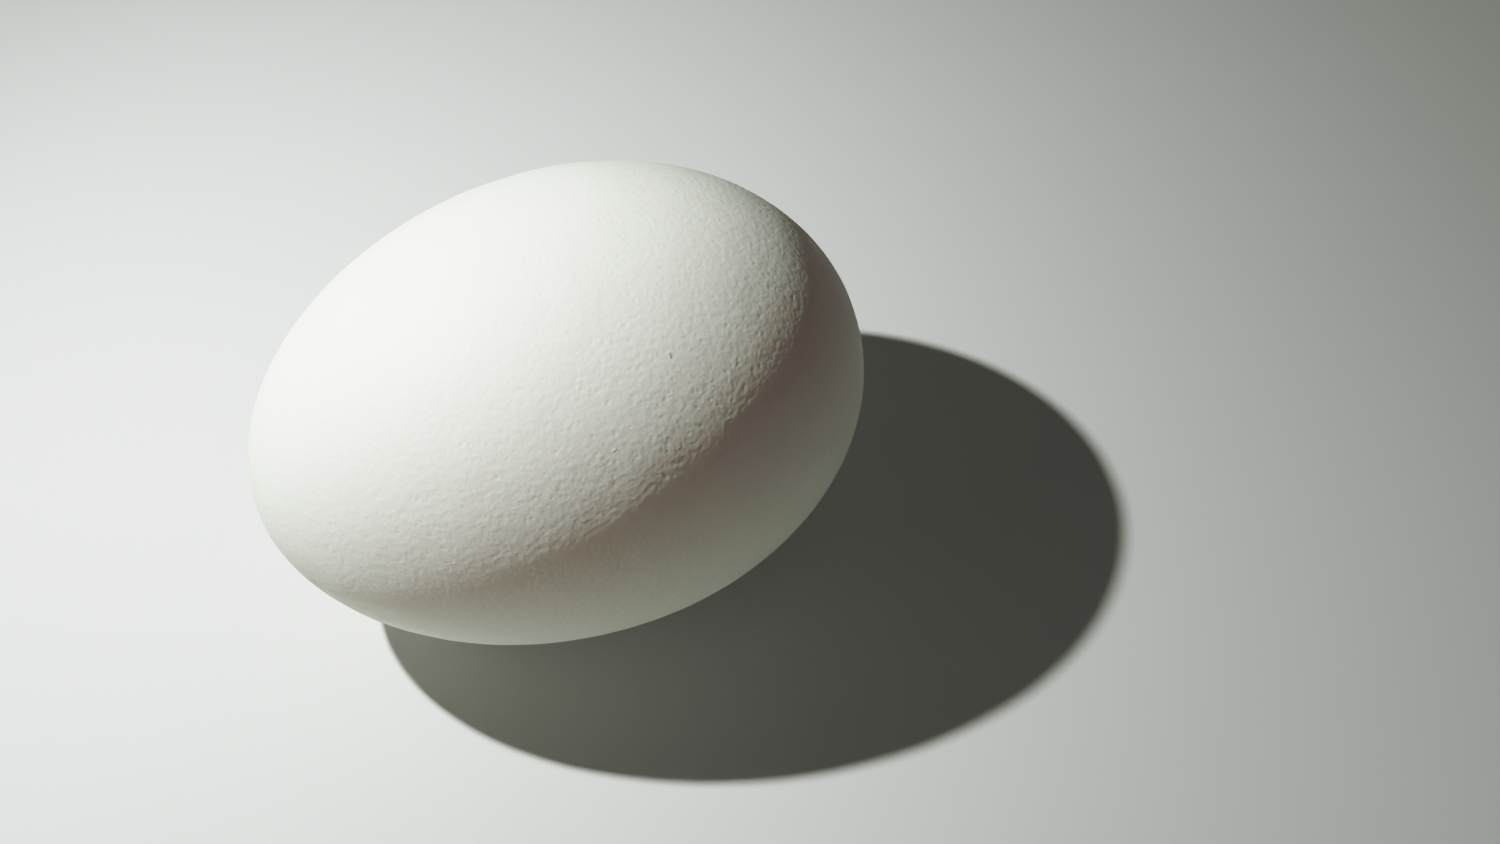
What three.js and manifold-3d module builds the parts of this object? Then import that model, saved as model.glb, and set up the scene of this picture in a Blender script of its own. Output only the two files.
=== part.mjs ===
// A hen's egg, whole and unbroken, lying on its side.
//
// The shell grew round its contents as one closed body, so the egg is one solid: a smooth surface
// turned about the long axis, fuller toward the blunt end than toward the pointed end. A lying egg
// settles on the point of its side that is nearest its centre of mass, which leaves the pointed end
// a few degrees low, and it rests there on a small flat spot.
//
// Millimetres, +Z up. The long axis runs along +X toward the blunt end, and the origin is the
// middle of the flat spot, on the surface that the egg lies on.

import * as THREE from "three";
import { mergeVertices } from "three/addons/utils/BufferGeometryUtils.js";
import Module from "manifold-3d";

const wasm = await Module();
wasm.setup();

// ---- Driving dimensions ----
const EGG_LENGTH = 57; // from the pointed pole to the blunt pole
const MIDDLE_DIAMETER = 42.6; // across the egg, halfway along its length
const BLUNTNESS = 0.0555; // share by which the radius grows toward the blunt pole
const END_SLIMNESS = 0.0055; // share by which both ends are slimmer than an ellipsoid's
const FLAT_SPOT_WIDTH = 5; // across the flat spot, before the facets take a little off it

// ---- Fineness ----
const RINGS = 48; // steps from pole to pole
const RING_SIDES = 72; // steps round the long axis
const BALANCE_SLICES = 4000; // slices that the centre of mass is summed over

const HALF_LENGTH = EGG_LENGTH / 2;

const shellMaterial = new THREE.MeshStandardMaterial({
  name: "matte white eggshell",
  color: 0xeeebe2,
  roughness: 0.6,
  metalness: 0,
});

// Radius of the egg at a place on its long axis, with x measured from the middle of its length.
// It is an ellipsoid's radius, times a curve that makes the blunt half fuller.
function radiusAt(x) {
  const share = x / HALF_LENGTH;
  const ellipsoid = (MIDDLE_DIAMETER / 2) * Math.sqrt(Math.max(0, 1 - share * share));
  return ellipsoid * (1 + BLUNTNESS * share - END_SLIMNESS * share * share);
}

// Where the centre of mass lies on the long axis, for an egg of even density.
function centreOfMass() {
  const slice = EGG_LENGTH / BALANCE_SLICES;
  let area = 0;
  let moment = 0;
  for (let i = 0; i < BALANCE_SLICES; i++) {
    const x = -HALF_LENGTH + (i + 0.5) * slice;
    area += radiusAt(x) ** 2;
    moment += x * radiusAt(x) ** 2;
  }
  return moment / area;
}

// The point of the side nearest the centre of mass, found by closing in on it from both sides.
function restingPoint(massX) {
  const distance = (x) => Math.hypot(x - massX, radiusAt(x));
  let low = -HALF_LENGTH / 2;
  let high = HALF_LENGTH / 2;
  while (high - low > 1e-7) {
    const third = (high - low) / 3;
    if (distance(low + third) < distance(high - third)) {
      high -= third;
    } else {
      low += third;
    }
  }
  return (low + high) / 2;
}

// The whole egg on its long axis, with the middle of its length at the origin. The steps from pole
// to pole are even in angle, so they close up where the ends curve most.
function turnedEgg() {
  const outline = [];
  for (let ring = 0; ring <= RINGS; ring++) {
    const x = -HALF_LENGTH * Math.cos((Math.PI * ring) / RINGS);
    const pole = ring === 0 || ring === RINGS;
    outline.push(new THREE.Vector2(pole ? 0 : radiusAt(x), x));
  }
  return new THREE.LatheGeometry(outline, RING_SIDES).rotateZ(-Math.PI / 2);
}

// A closed three.js geometry as a solid that can be cut.
function solidOf(geometry) {
  const bare = geometry.clone();
  bare.deleteAttribute("normal");
  bare.deleteAttribute("uv");
  const merged = mergeVertices(bare);
  const mesh = new wasm.Mesh({
    numProp: 3,
    vertProperties: new Float32Array(merged.attributes.position.array),
    triVerts: new Uint32Array(merged.index.array),
  });
  return new wasm.Manifold(mesh);
}

// A cut solid as a three.js geometry again.
function geometryOf(solid) {
  const { vertProperties, triVerts } = solid.getMesh();
  const geometry = new THREE.BufferGeometry();
  geometry.setAttribute("position", new THREE.BufferAttribute(vertProperties, 3));
  geometry.setIndex(new THREE.BufferAttribute(triVerts, 1));
  geometry.computeVertexNormals();
  return geometry;
}

// The egg in its attitude of rest: its centre of mass right over the resting point, and the
// underside cut off level at the height where the flat spot gets its width.
function eggGeometry() {
  const massX = centreOfMass();
  const restX = restingPoint(massX);
  const restRadius = radiusAt(restX);
  const lean = Math.atan2(massX - restX, restRadius);
  const massHeight = Math.hypot(massX - restX, restRadius);
  const spotDepth = restRadius - Math.sqrt(restRadius ** 2 - (FLAT_SPOT_WIDTH / 2) ** 2);

  const lying = turnedEgg()
    .translate(-massX, 0, 0)
    .rotateY(-lean)
    .translate(0, 0, massHeight - spotDepth);
  const below = new THREE.BoxGeometry(EGG_LENGTH, EGG_LENGTH, EGG_LENGTH)
    .translate(0, 0, -HALF_LENGTH);
  return geometryOf(solidOf(lying).subtract(solidOf(below)));
}

const egg = new THREE.Mesh(eggGeometry(), shellMaterial);
egg.name = "egg";

const lyingEgg = new THREE.Group();
lyingEgg.add(egg);

export default lyingEgg;
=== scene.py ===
import math

import bmesh
import bpy
import numpy as np
from mathutils import Matrix, Vector, noise


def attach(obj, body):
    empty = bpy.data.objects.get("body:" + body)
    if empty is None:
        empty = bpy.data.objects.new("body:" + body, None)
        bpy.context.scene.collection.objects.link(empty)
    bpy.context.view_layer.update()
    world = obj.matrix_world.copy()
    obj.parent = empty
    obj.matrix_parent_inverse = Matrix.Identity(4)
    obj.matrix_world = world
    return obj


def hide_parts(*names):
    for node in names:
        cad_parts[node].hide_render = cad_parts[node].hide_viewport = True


# A hen's egg lying on its side on a pale board. The shell is calcite, about a third of a millimetre
# thick, which set round the soft egg while it turned inside the hen. That leaves a matte, faintly
# pebbled and pitted surface on a smooth form with one blunter end.

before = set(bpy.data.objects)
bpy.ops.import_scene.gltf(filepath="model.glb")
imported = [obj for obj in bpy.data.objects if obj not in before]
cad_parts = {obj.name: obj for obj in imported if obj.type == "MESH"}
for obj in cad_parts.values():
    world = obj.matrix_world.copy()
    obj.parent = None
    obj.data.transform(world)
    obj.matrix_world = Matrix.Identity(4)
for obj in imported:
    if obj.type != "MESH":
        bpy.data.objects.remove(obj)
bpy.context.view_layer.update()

MM = 0.001  # the scene is in metres, and an egg is measured in millimetres

# ---- Camera ----
# A camera held about 16 cm away, over one side of the egg and a little toward its pointed end. It
# looks steeply down through a moderately wide lens, so the near side of the egg looks a little larger.

LENS_MM = 35
SENSOR_WIDTH_MM = 36
CAMERA_HEADING = math.radians(20.25)  # clockwise from +Y, seen from above
CAMERA_PITCH = math.radians(55.65)  # down from level
CAMERA_DISTANCE = 159.3 * MM  # to the spot on the board that it looks at
CAMERA_AIM = Vector((19.92, 5.91, 0)) * MM

camera_gaze = Vector((
    math.sin(CAMERA_HEADING) * math.cos(CAMERA_PITCH),
    math.cos(CAMERA_HEADING) * math.cos(CAMERA_PITCH),
    -math.sin(CAMERA_PITCH),
))
camera = bpy.data.objects.new("camera", bpy.data.cameras.new("camera"))
camera.location = CAMERA_AIM - camera_gaze * CAMERA_DISTANCE
camera.rotation_euler = camera_gaze.to_track_quat("-Z", "Y").to_euler()
camera.data.lens = LENS_MM
camera.data.sensor_width = SENSOR_WIDTH_MM
camera.data.clip_start = 5 * MM
bpy.context.scene.collection.objects.link(camera)
bpy.context.scene.camera = camera

# ---- Eggshell ----
# One unbroken shell of calcite under a thin dried cuticle. It took its shape in the oviduct, which it
# goes down pointed end first: round across, and fuller toward the other end. It lies loose, with its
# centre of mass over the point it touches at, so the pointed end is a little low.

EGG_LENGTH = 57 * MM  # pole to pole
MIDDLE_DIAMETER = 42.6 * MM  # across, halfway along the length
BLUNTNESS = 0.0555  # share by which the radius grows toward the blunt pole
END_SLIMNESS = 0.0055  # share by which both ends are slimmer than an ellipsoid's
FLAT_SPOT_WIDTH = 5 * MM  # across the egg: a real shell touches over less
SLICES = 8001  # across the long axis, to find the centre of mass
SHELL_STEPS = 128  # faces along each side of the six sheets that close round the egg
SHELL_SWELLS = (  # length and height in millimetres: the unevenness too broad for the pebbling
    (11, 0.05),
    (5, 0.034),
    (2.5, 0.018),
    (1.25, 0.007),
)
PEBBLE_SIZE = 0.55  # millimetres, and so are the other sizes of the shell's surface
PEBBLE_HEIGHT = 0.042
PITS = (  # spacing, radius and greatest depth: dimples round the pores, and finer ones between
    (0.62, 0.30, 0.019),
    (0.36, 0.17, 0.008),
)
CLOUD_SIZE = 6  # the faint patches of slightly different white
SHELL_WHITE = "#EDFCF4"
SHELL_CREAM = "#EAF8F1"
SHELL_ROUGHNESS = (0.52, 0.68)  # in the hollows of the pebbling, and on its tops
CUTICLE_IOR = 1.5
CUTICLE_SHEEN = 0.35  # 0.5 is a closed coat, and this one is porous
INNER_GLOW = "#FF7D27"
GLOW_SHARE = 0.145  # the part of the light that goes in and comes out somewhere else
GLOW_REACH = 60  # more than the egg's length, so that the glow is nearly even all over it


def fullness(share):
    """How much wider than an ellipsoid the egg is, at a share of the way from middle to pole."""
    return 1 + BLUNTNESS * share - END_SLIMNESS * share**2


def resting_attitude():
    """The centre of mass on the long axis, its height when the egg lies, and the axis's lean."""
    share = np.linspace(-1, 1, SLICES)
    x = share * EGG_LENGTH / 2
    radius = MIDDLE_DIAMETER / 2 * np.sqrt(1 - share**2) * fullness(share)
    mass_x = (x * radius**2).sum() / (radius**2).sum()
    side = np.abs(share) < 0.5  # the egg can't lie on its poles
    touching = np.argmin(np.hypot(x[side] - mass_x, radius[side]))
    rest_x, rest_radius = x[side][touching], radius[side][touching]
    height = math.hypot(mass_x - rest_x, rest_radius)
    lean = math.atan2(mass_x - rest_x, rest_radius)
    spot_depth = rest_radius - math.sqrt(rest_radius**2 - (FLAT_SPOT_WIDTH / 2) ** 2)
    return mass_x, height - spot_depth, lean


def wrapped_sheets(steps):
    """Six square sheets of lattice points that close round a cube, each wound to face out."""
    across, up = np.meshgrid(np.arange(steps + 1), np.arange(steps + 1), indexing="ij")
    sheets = np.empty((6, steps + 1, steps + 1, 3), int)
    for number, sheet in enumerate(sheets):
        axis, far_side = number % 3, number < 3
        sheet[..., axis] = steps if far_side else 0
        sheet[..., (axis + 1) % 3] = across if far_side else up
        sheet[..., (axis + 2) % 3] = up if far_side else across
    return sheets


def shell_relief(place):
    """Height of the shell's own unevenness at a place on it, both in millimetres."""
    relief = 0
    for length, height in SHELL_SWELLS:
        apart = Vector((length, 3 * length, 7 * length))  # no two sizes of swell share a pattern
        relief += height * noise.noise(place / length + apart)
    return relief


def corners_of_squares(sheets):
    """The four corners of every square of the sheets, from one value for each lattice point."""
    return np.stack((
        sheets[:, :-1, :-1], sheets[:, 1:, :-1], sheets[:, 1:, 1:], sheets[:, :-1, 1:],
    ), axis=3)


def sheet_layout(steps, margin=0.01):
    """Where the lattice points lie on one flat picture that holds the six sheets.

    The sheets stand three across and two up, each inside a narrow margin, so that no colour comes
    in from the next sheet when the surface is baked to that picture.
    """
    across, up = np.meshgrid(np.arange(steps + 1), np.arange(steps + 1), indexing="ij")
    square = np.stack((across, up), axis=-1) / steps * (1 - 2 * margin) + margin
    return np.stack([(square + (number % 3, number // 3)) / (3, 2) for number in range(6)])


def egg_mesh():
    """The shell's outside as one closed mesh, lying on its flat spot."""
    sheets = wrapped_sheets(SHELL_STEPS)
    points, number = np.unique(sheets.reshape(-1, 3), axis=0, return_inverse=True)
    number = number.reshape(sheets.shape[:3])
    cube = np.tan(math.pi / 4 * (2 * points / SHELL_STEPS - 1))  # keeps the faces much of a size
    ball = cube / np.linalg.norm(cube, axis=1, keepdims=True)

    across = (MIDDLE_DIAMETER / 2 * fullness(ball[:, 0]))[:, None] * ball[:, 1:]
    smooth = np.column_stack((EGG_LENGTH / 2 * ball[:, 0], across))
    outward = ball / (EGG_LENGTH, MIDDLE_DIAMETER, MIDDLE_DIAMETER)
    outward /= np.linalg.norm(outward, axis=1, keepdims=True)
    relief = np.array([shell_relief(Vector(place)) for place in smooth / MM]) * MM
    shell = smooth + outward * relief[:, None]

    mass_x, height, lean = resting_attitude()
    shell -= (mass_x, 0, 0)
    tilt = np.array(Matrix.Rotation(-lean, 3, "Y"))
    shell = shell @ tilt.T + (0, 0, height)
    shell[:, 2] = np.maximum(shell[:, 2], 0)  # the flat spot

    mesh = bpy.data.meshes.new("eggshell")
    mesh.from_pydata(shell.tolist(), [], corners_of_squares(number).reshape(-1, 4).tolist())
    layout = mesh.uv_layers.new(name="OFBake")
    layout.uv.foreach_set("vector", corners_of_squares(sheet_layout(SHELL_STEPS)).ravel())
    mesh.shade_smooth()
    return mesh


def linear(colour):
    """An sRGB hex colour as linear red, green, blue and alpha."""
    parts = [int(colour[i : i + 2], 16) / 255 for i in (1, 3, 5)]
    return (*(p / 12.92 if p <= 0.04045 else ((p + 0.055) / 1.055) ** 2.4 for p in parts), 1)


def add(tree, kind, inputs=None, **settings):
    """Adds a node. An input is a plain value, or another node's output to link from."""
    node = tree.nodes.new(kind)
    for name, value in settings.items():
        setattr(node, name, value)
    for name, value in (inputs or {}).items():
        if isinstance(value, bpy.types.NodeSocket):
            tree.links.new(value, node.inputs[name])
        else:
            node.inputs[name].default_value = value
    return node


def place_in_mm(tree):
    """The place on the object, in millimetres."""
    place = add(tree, "ShaderNodeTexCoord").outputs["Object"]
    return add(tree, "ShaderNodeVectorMath", {0: place, "Scale": 1 / MM},
               operation="SCALE").outputs["Vector"]


def new_material(name):
    """A material with its node tree and its surface shader."""
    material = bpy.data.materials.new(name)
    material.use_nodes = True
    return material, material.node_tree, material.node_tree.nodes["Principled BSDF"]


def matte_eggshell():
    """Calcite eggshell with its dry cuticle, as laid.

    The cuticle is dull, so the light spreads wide and no sharp highlight shows. Fine pebbling and
    pits catch a low light, and break up the edge of the shade. Some of the light goes right in and
    comes out reddish, because the shell and the white take up blue and green on the way. That warms
    the shade, and the surface is a little short of red to make up for it in full light.
    """
    material, tree, surface = new_material("matte_eggshell")
    place = place_in_mm(tree)

    pebbles = add(tree, "ShaderNodeTexNoise",
                  {"Vector": place, "Scale": 1 / PEBBLE_SIZE, "Detail": 1.0, "Roughness": 0.4})
    height = add(tree, "ShaderNodeMath", {0: pebbles.outputs["Fac"], 1: PEBBLE_HEIGHT},
                 operation="MULTIPLY")
    for spacing, radius, greatest_depth in PITS:
        pits = add(tree, "ShaderNodeTexVoronoi", {"Vector": place, "Scale": 1 / spacing})
        pit = add(tree, "ShaderNodeMapRange", {
            "Value": pits.outputs["Distance"],
            "From Min": 0.0, "From Max": radius / spacing, "To Min": 1.0, "To Max": 0.0,
        }, interpolation_type="SMOOTHSTEP")
        share = add(tree, "ShaderNodeSeparateColor", {"Color": pits.outputs["Color"]})
        depth = add(tree, "ShaderNodeMath", {0: share.outputs["Red"], 1: -greatest_depth},
                    operation="MULTIPLY")
        height = add(tree, "ShaderNodeMath", {
            0: pit.outputs["Result"], 1: depth.outputs["Value"], 2: height.outputs["Value"],
        }, operation="MULTIPLY_ADD")
    relief = add(tree, "ShaderNodeBump",
                 {"Height": height.outputs["Value"], "Strength": 1.0, "Distance": MM})

    cloud = add(tree, "ShaderNodeTexNoise",
                {"Vector": place, "Scale": 1 / CLOUD_SIZE, "Detail": 3.0, "Roughness": 0.6})
    white = add(tree, "ShaderNodeMixRGB", {
        "Fac": cloud.outputs["Fac"], "Color1": linear(SHELL_WHITE), "Color2": linear(SHELL_CREAM),
    })
    rough = add(tree, "ShaderNodeMapRange", {
        "Value": pebbles.outputs["Fac"],
        "To Min": SHELL_ROUGHNESS[0], "To Max": SHELL_ROUGHNESS[1],
    })

    tree.links.new(white.outputs["Color"], surface.inputs["Base Color"])
    tree.links.new(rough.outputs["Result"], surface.inputs["Roughness"])
    tree.links.new(relief.outputs["Normal"], surface.inputs["Normal"])
    surface.inputs["IOR"].default_value = CUTICLE_IOR
    surface.inputs["Specular IOR Level"].default_value = CUTICLE_SHEEN
    glow = add(tree, "ShaderNodeSubsurfaceScattering", {
        "Color": linear(INNER_GLOW), "Scale": MM, "Radius": (GLOW_REACH,) * 3,
        "Normal": relief.outputs["Normal"],
    })
    shell = add(tree, "ShaderNodeMixShader",
                {0: GLOW_SHARE, 1: surface.outputs["BSDF"], 2: glow.outputs["BSSRDF"]})
    tree.links.new(shell.outputs["Shader"], tree.nodes["Material Output"].inputs["Surface"])
    return material


eggshell = bpy.data.objects.new("eggshell", egg_mesh())
eggshell.data.materials.append(matte_eggshell())
bpy.context.scene.collection.objects.link(eggshell)
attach(eggshell, "root")
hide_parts("egg")

# ---- Calcite grain ----
# A speck of extra calcite that set on the shell, half sunk in it, on the side toward the camera. It
# is the same stuff as the shell, so only its lit edge and its own shade tell it apart.

GRAIN_PLACE = Vector((0.59, -15.75, 35.61)) * MM
GRAIN_BEARING = Vector((0.62, 0.08, 0.11))  # the way its longer side runs
GRAIN_HALF_SIZES = Vector((0.22, 0.11, 0.024)) * MM
GRAIN_UNEVENNESS = 0.5  # the most that it bulges or dips, as a share of its size
LUMP_PATTERN = 1.5  # bulges and dips to a lump's half size
LUMP_DETAIL = 4  # a lump of 1,280 faces


def seated(mesh, place, along):
    """Moves a mesh so that it lies on the shell nearest a place, with its x running along."""
    bpy.context.view_layer.update()
    _, seat, outward, _ = eggshell.closest_point_on_mesh(place)
    across = outward.cross(along).normalized()
    turn = Matrix((across.cross(outward), across, outward)).transposed().to_4x4()
    mesh.transform(Matrix.Translation(seat) @ turn)


def mark(name, mesh, material):
    """A small mark on the shell, which goes where the shell goes."""
    mesh.shade_smooth()
    mesh.materials.append(material)
    piece = bpy.data.objects.new(name, mesh)
    bpy.context.scene.collection.objects.link(piece)
    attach(piece, "root")


def lump_mesh(name, half_sizes, unevenness, bend=0.0, taper=0.0):
    """A small uneven lump. It can bend sideways and taper toward its x end."""
    lump = bmesh.new()
    bmesh.ops.create_icosphere(lump, subdivisions=LUMP_DETAIL, radius=1)
    for vertex in lump.verts:
        point = vertex.co * (1 + unevenness * noise.noise(vertex.co * LUMP_PATTERN))
        point.y = point.y * (1 - taper * point.x) + bend * point.x**2
        vertex.co = point * half_sizes
    mesh = bpy.data.meshes.new(name)
    lump.to_mesh(mesh)
    lump.free()
    return mesh


calcite_grain = lump_mesh("calcite_grain", GRAIN_HALF_SIZES, GRAIN_UNEVENNESS)
seated(calcite_grain, GRAIN_PLACE, GRAIN_BEARING)
mark("calcite_grain", calcite_grain, eggshell.data.materials[0])

# ---- Fleck ----
# A grey fleck of dried matter, a little over half a millimetre long, stuck flat to the upper side of
# the shell. It is thick at its head, and bends and thins toward its tail.

FLECK_PLACE = Vector((6.92, -11.0, 39.04)) * MM
FLECK_BEARING = Vector((0.13, -1.0, -0.65))  # from its head to its tail
FLECK_HALF_SIZES = Vector((0.29, 0.10, 0.03)) * MM
FLECK_DARK = "#B1B0A2"
FLECK_LIGHT = "#CECDC4"
FLECK_UNEVENNESS = 0.3
FLECK_BEND = 0.9  # sideways, in its own half widths
FLECK_TAPER = 0.55  # share of its middle width that its head gains and its tail loses
FLECK_SPECKLE = 0.15  # millimetres
FLECK_ROUGHNESS = 0.75
FLECK_IOR = 1.5


def dried_fleck():
    """Dried matter, dull and grey, speckled with a lighter grey, so that no edge of it shines."""
    material, tree, surface = new_material("dried_fleck")
    speckle = add(tree, "ShaderNodeTexNoise", {
        "Vector": place_in_mm(tree), "Scale": 1 / FLECK_SPECKLE, "Detail": 2.0, "Roughness": 0.6,
    })
    tone = add(tree, "ShaderNodeMixRGB", {
        "Fac": speckle.outputs["Fac"], "Color1": linear(FLECK_DARK), "Color2": linear(FLECK_LIGHT),
    })
    tree.links.new(tone.outputs["Color"], surface.inputs["Base Color"])
    surface.inputs["Roughness"].default_value = FLECK_ROUGHNESS
    surface.inputs["IOR"].default_value = FLECK_IOR
    return material


fleck = lump_mesh("fleck", FLECK_HALF_SIZES, FLECK_UNEVENNESS, FLECK_BEND, FLECK_TAPER)
seated(fleck, FLECK_PLACE, FLECK_BEARING)
mark("fleck", fleck, dried_fleck())

# ---- Board ----
# A smooth pale board for the egg to lie on. Its dull coating dried with a very fine tooth, which is
# too low to see and only takes the shine away.

BOARD_WIDTH = 4.0  # metres, so that no edge of it comes near the egg
BOARD_PALE = "#E0E2E0"
BOARD_GREY = "#DEE0DE"
BOARD_MOTTLE = 25  # millimetres, and so are the sizes of the tooth
TOOTH_SIZE = 0.5
TOOTH_HEIGHT = 0.004
BOARD_ROUGHNESS = (0.7, 0.8)  # in the two shades of the mottle
BOARD_SHEEN = 0.2


def dull_coated_board():
    """Card with a dull coating: even in the light, with a faint mottle and almost no shine."""
    material, tree, surface = new_material("dull_coated_board")
    place = place_in_mm(tree)
    mottle = add(tree, "ShaderNodeTexNoise",
                 {"Vector": place, "Scale": 1 / BOARD_MOTTLE, "Detail": 4.0, "Roughness": 0.5})
    grey = add(tree, "ShaderNodeMixRGB", {
        "Fac": mottle.outputs["Fac"], "Color1": linear(BOARD_PALE), "Color2": linear(BOARD_GREY),
    })
    tooth = add(tree, "ShaderNodeTexNoise",
                {"Vector": place, "Scale": 1 / TOOTH_SIZE, "Detail": 1.0, "Roughness": 0.5})
    height = add(tree, "ShaderNodeMath", {0: tooth.outputs["Fac"], 1: TOOTH_HEIGHT},
                 operation="MULTIPLY")
    relief = add(tree, "ShaderNodeBump",
                 {"Height": height.outputs["Value"], "Strength": 1.0, "Distance": MM})
    rough = add(tree, "ShaderNodeMapRange", {
        "Value": mottle.outputs["Fac"],
        "To Min": BOARD_ROUGHNESS[0], "To Max": BOARD_ROUGHNESS[1],
    })
    tree.links.new(grey.outputs["Color"], surface.inputs["Base Color"])
    tree.links.new(rough.outputs["Result"], surface.inputs["Roughness"])
    tree.links.new(relief.outputs["Normal"], surface.inputs["Normal"])
    surface.inputs["Specular IOR Level"].default_value = BOARD_SHEEN
    return material


board_mesh = bmesh.new()
bmesh.ops.create_grid(board_mesh, x_segments=8, y_segments=8, size=BOARD_WIDTH / 2)
board = bpy.data.objects.new("board", bpy.data.meshes.new("board"))
board_mesh.to_mesh(board.data)
board_mesh.free()
board.data.materials.append(dull_coated_board())
bpy.context.scene.collection.objects.link(board)

# ---- Light ----
# One small round studio lamp stands about 16 cm off, above and beyond the pointed end. Two large,
# weak softboxes and a dim room open up the shade. One softbox, with a cool light, stands low beyond the
# pointed end, and the other, with a warm light, stands high near the camera.

LAMP_PLACE = Vector((-69.1, 34.6, 135.5)) * MM
LAMP_WIDTH = 4.8 * MM
LAMP_POWER = 0.469  # watts
LAMP_TINT = (0.979, 1.0, 0.987)
SOFTBOX_DISTANCE = 0.7  # metres, and so are their widths
SOFTBOXES = (  # width, bearing from +X and height in degrees, watts, and tint
    ("side_softbox", 0.3, 180, 15, 0.356, (0.852, 0.864, 1.0)),
    ("front_softbox", 0.5, 240, 50, 0.158, (1.0, 0.932, 0.662)),
)
ROOM_TINT = (0.98, 1.0, 0.67)
ROOM_STRENGTH = 0.009


def aim_at_egg(light):
    """Turns a light to face the egg, and puts it in the scene."""
    light.rotation_euler = (-light.location).to_track_quat("-Z", "Y").to_euler()
    bpy.context.scene.collection.objects.link(light)


lamp = bpy.data.objects.new("lamp", bpy.data.lights.new("lamp", "AREA"))
lamp.data.shape = "DISK"
lamp.data.size = LAMP_WIDTH
lamp.data.energy = LAMP_POWER
lamp.data.color = LAMP_TINT
lamp.location = LAMP_PLACE
aim_at_egg(lamp)

for name, width, bearing, height, power, tint in SOFTBOXES:
    softbox = bpy.data.objects.new(name, bpy.data.lights.new(name, "AREA"))
    softbox.data.size = width
    softbox.data.energy = power
    softbox.data.color = tint
    level = math.cos(math.radians(height))
    softbox.location = SOFTBOX_DISTANCE * Vector((
        level * math.cos(math.radians(bearing)),
        level * math.sin(math.radians(bearing)),
        math.sin(math.radians(height)),
    ))
    softbox.visible_camera = False
    aim_at_egg(softbox)

room = bpy.data.worlds.new("room")
room.use_nodes = True
room.node_tree.nodes["Background"].inputs["Color"].default_value = (*ROOM_TINT, 1)
room.node_tree.nodes["Background"].inputs["Strength"].default_value = ROOM_STRENGTH
bpy.context.scene.world = room

# ---- Film ----
# How the light is shown. A soft shoulder keeps the brightest side of the shell from burning out, and
# a thin veil, as a lens gives, lifts the darkest shade. Blue is held back in all but the brightest
# tones, and red a very little in the middle ones.

FILM_WHITE = 3.6  # the brightest light in the scene that the film tells apart
FILM_POINTS = 12
FILM_VEIL = 0.033  # shown where there is no light
FILM_TOP = 0.951  # nearly reached by the brightest light
FILM_SPEED = 0.947
FILM_TOE = 1.185  # over 1 holds back the darker tones
FILM_RED = (  # what the film gives, and what is shown
    (0.1, 0.1),
    (0.3, 0.295),
    (0.6, 0.598),
)
FILM_BLUE = (
    (0.033, 0.028),
    (0.08, 0.072),
    (0.15, 0.131),
    (0.27, 0.246),
    (0.4, 0.383),
    (0.6, 0.590),
)


def film_shows(light):
    """The light shown for a light in the scene: a veil, a toe, and a soft shoulder."""
    return FILM_TOP - (FILM_TOP - FILM_VEIL) * math.exp(-FILM_SPEED * light**FILM_TOE)


view = bpy.context.scene.view_settings
view.view_transform = "Standard"
view.use_curve_mapping = True
view.curve_mapping.clip_max_x = FILM_WHITE
film_red, _, film_blue, film = view.curve_mapping.curves
for point, light in zip(film.points, (0, FILM_WHITE)):
    point.location = (light, film_shows(light))
for step in range(1, FILM_POINTS):
    light = FILM_WHITE * (step / FILM_POINTS) ** 2  # closer together in the dark
    film.points.new(light, film_shows(light))
for light, shown in FILM_RED:
    film_red.points.new(light, shown)
for light, shown in FILM_BLUE:
    film_blue.points.new(light, shown)
view.curve_mapping.update()
